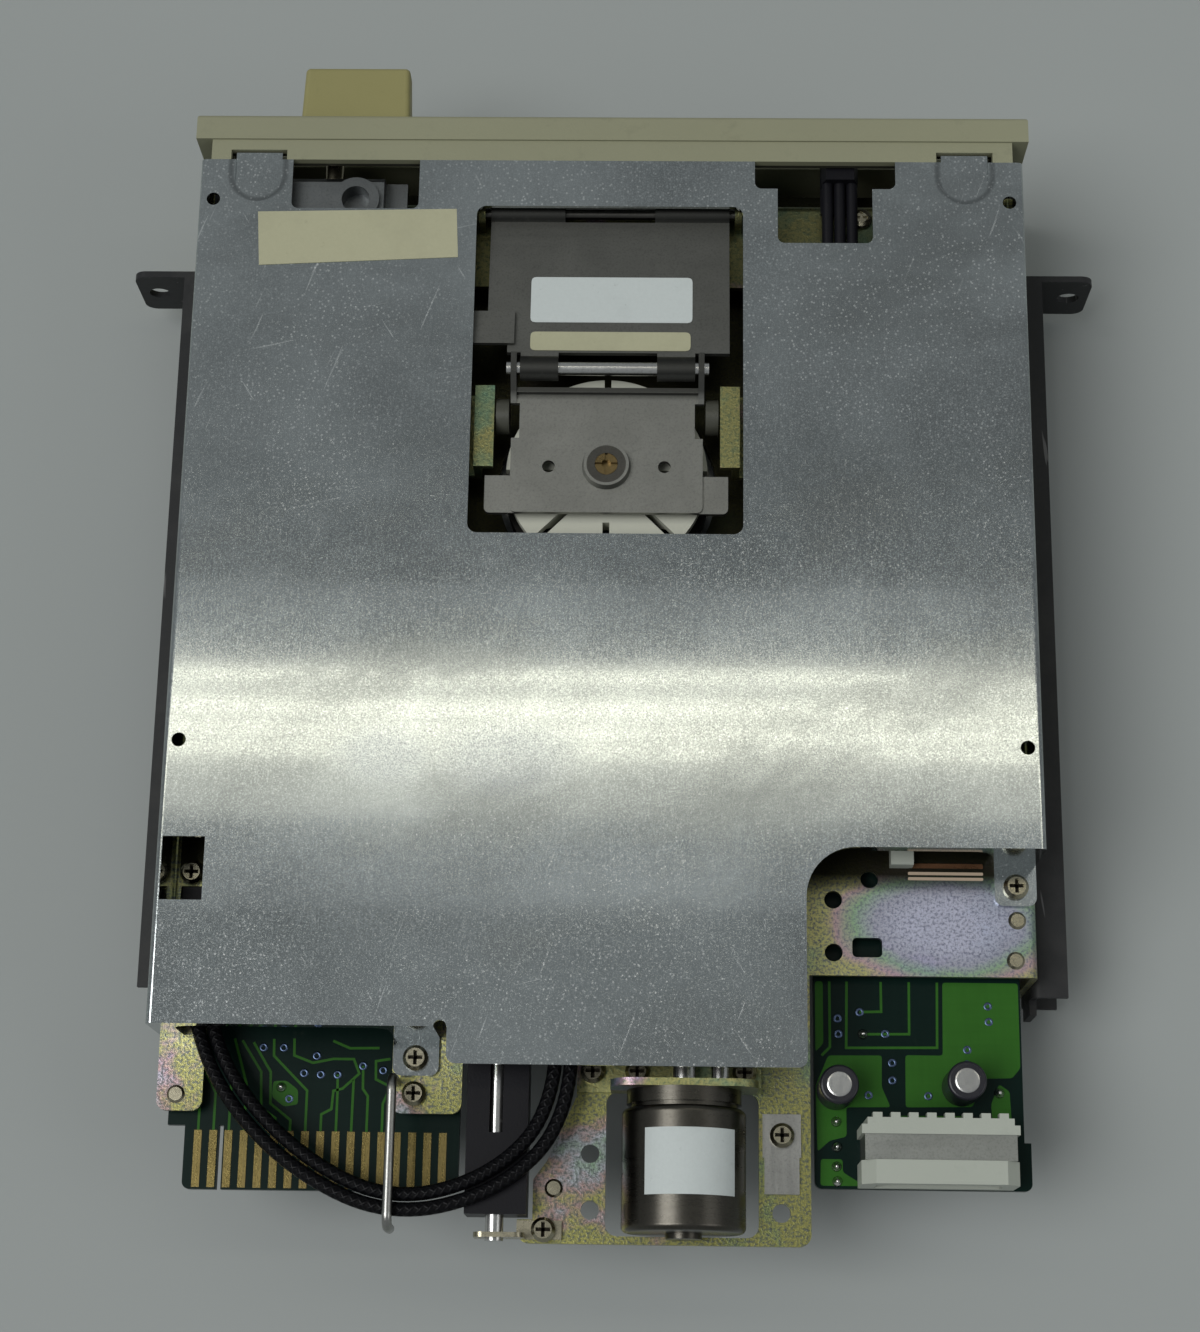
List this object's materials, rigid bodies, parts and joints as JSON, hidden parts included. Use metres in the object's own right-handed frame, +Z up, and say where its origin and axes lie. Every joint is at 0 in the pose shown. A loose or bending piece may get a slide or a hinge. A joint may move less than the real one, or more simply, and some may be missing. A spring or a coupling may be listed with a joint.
{
  "type": "floppy disk drive",
  "caption": "Half-height floppy disk drive for wide flexible disks: folded chassis, top shield with a window over the clamp, turning lever, stepper, head carriage and rear edge connector.",
  "frame": {"origin": "middle of the overall outline in plan, on the plane of the chassis lips that the drive rests on", "axes": "+X to the right seen from the front, +Y from the bezel to the rear, +Z up, away from the lips"},
  "size_m": [0.1774, 0.208, 0.0417],
  "materials": {
    "aged_plastic": "aged grey-beige moulded plastic",
    "knob_plastic": "yellowed moulded plastic",
    "lamp_red": "clear red lens",
    "black_plastic": "black moulded plastic",
    "white_plastic": "white moulded plastic",
    "yellow_zinc": "yellow chromated zinc on steel",
    "zinc": "grey zinc, dull",
    "shield_sheet": "bare rolled sheet",
    "dark_plate": "dark plated steel",
    "bright_steel": "ground steel",
    "can_steel": "drawn steel can",
    "screw_steel": "zinc-plated steel",
    "brass": "turned brass",
    "copper": "enamelled copper winding",
    "gold": "gold-plated contact",
    "board": "green solder mask on glass fibre",
    "black_paint": "black paint on steel",
    "cap_sleeve": "dark shrink sleeve",
    "cable_braid": "black sleeve",
    "head_ceramic": "ground ceramic slider"
  },
  "bodies": {
    "chassis": {"front_bezel": "aged_plastic", "activity_led": "lamp_red", "led_holder": "black_plastic", "led_leads": "cable_braid", "main_chassis": "yellow_zinc", "chassis_rivets": "screw_steel", "top_shield": "shield_sheet", "shield_screws": "screw_steel", "front_beam": "yellow_zinc", "frame_posts": "screw_steel", "panhead_screws": "screw_steel", "lever_bracket": "zinc", "clamp_guide_left": "yellow_zinc", "clamp_guide_right": "yellow_zinc", "guide_rollers": "bright_steel", "clamp_pivot_pin": "bright_steel", "spindle_bearing": "zinc", "motor_board": "board", "motor_coils": "copper", "board_spacers": "screw_steel", "main_pcb": "board", "edge_contacts": "gold", "power_connector": "white_plastic", "power_pins": "bright_steel", "power_band": "screw_steel", "capacitors": "cap_sleeve", "pcb_chips": "black_plastic", "head_connector": "black_plastic", "stepper_can": "can_steel", "stepper_bracket": "yellow_zinc", "leaf_plate": "bright_steel", "guide_rod_main": "bright_steel", "guide_rod_side": "bright_steel", "rod_clips": "black_plastic", "rod_end_clip": "screw_steel", "screw_bearing": "black_plastic", "side_rail_left": "black_paint", "side_rail_right": "black_paint", "rail_screws": "screw_steel", "cable_hook": "bright_steel", "head_cable_upper": "cable_braid", "head_cable_lower": "cable_braid", "sensor_connector": "white_plastic"},
    "lever": {"lever_knob": "knob_plastic", "lever_shaft": "screw_steel"},
    "clamp_arm": {"clamp_plate": "dark_plate"},
    "clamp_carrier": {"clamp_bracket": "zinc", "clamp_hinge_pin": "bright_steel", "clamp_bearing": "bright_steel"},
    "clamp_hub": {"clamp_hub": "white_plastic", "hub_stem": "brass"},
    "spindle": {"spindle_hub": "can_steel", "spindle_shaft": "bright_steel", "motor_rotor": "can_steel"},
    "carriage": {"carriage": "black_plastic", "lower_head": "head_ceramic", "screw_follower": "white_plastic"},
    "head_arm": {"head_arm": "black_plastic", "upper_head": "head_ceramic"},
    "lead_screw": {"lead_screw": "bright_steel"}
  },
  "joints": [
    {"name": "lever_turn", "type": "hinge", "parent": "chassis", "child": "lever", "pos_m": [0.05, -0.0922, 0.034], "axis": [0, -1, 0], "range_deg": [0, 90]},
    {"name": "clamp_arm_swing", "type": "hinge", "parent": "chassis", "child": "clamp_arm", "pos_m": [0, -0.0752, 0.0362], "axis": [-1, 0, 0], "range_deg": [0, 5.9]},
    {"name": "clamp_carrier_level", "type": "hinge", "parent": "clamp_arm", "child": "clamp_carrier", "pos_m": [0, -0.04407, 0.03942], "axis": [1, 0, 0], "range_deg": [0, 5.9]},
    {"name": "clamp_hub_spin", "type": "hinge", "parent": "clamp_carrier", "child": "clamp_hub", "pos_m": [0, -0.02637, 0.034], "axis": [0, 0, 1], "continuous": true},
    {"name": "spindle_spin", "type": "hinge", "parent": "chassis", "child": "spindle", "pos_m": [0, -0.0262, 0.025], "axis": [0, 0, 1], "continuous": true},
    {"name": "carriage_slide", "type": "slide", "parent": "chassis", "child": "carriage", "axis": [0, -1, 0], "range_m": [0, 0.0209]},
    {"name": "head_arm_tilt", "type": "hinge", "parent": "carriage", "child": "head_arm", "pos_m": [0, 0.0687, 0.0344], "axis": [1, 0, 0], "range_deg": [0, 2.9]},
    {"name": "lead_screw_turn", "type": "hinge", "parent": "chassis", "child": "lead_screw", "pos_m": [-0.0141, 0.0668, 0.031], "axis": [0, 1, 0], "range_deg": [0, 1425]}
  ],
  "couplings": [
    {"joint": "clamp_arm_swing", "follows": "lever_turn", "ratio": 0.065556},
    {"joint": "clamp_carrier_level", "follows": "lever_turn", "ratio": 0.065556},
    {"joint": "head_arm_tilt", "follows": "lever_turn", "ratio": 0.032222},
    {"joint": "lead_screw_turn", "follows": "carriage_slide", "rad_per_m": 1187.7}
  ]
}
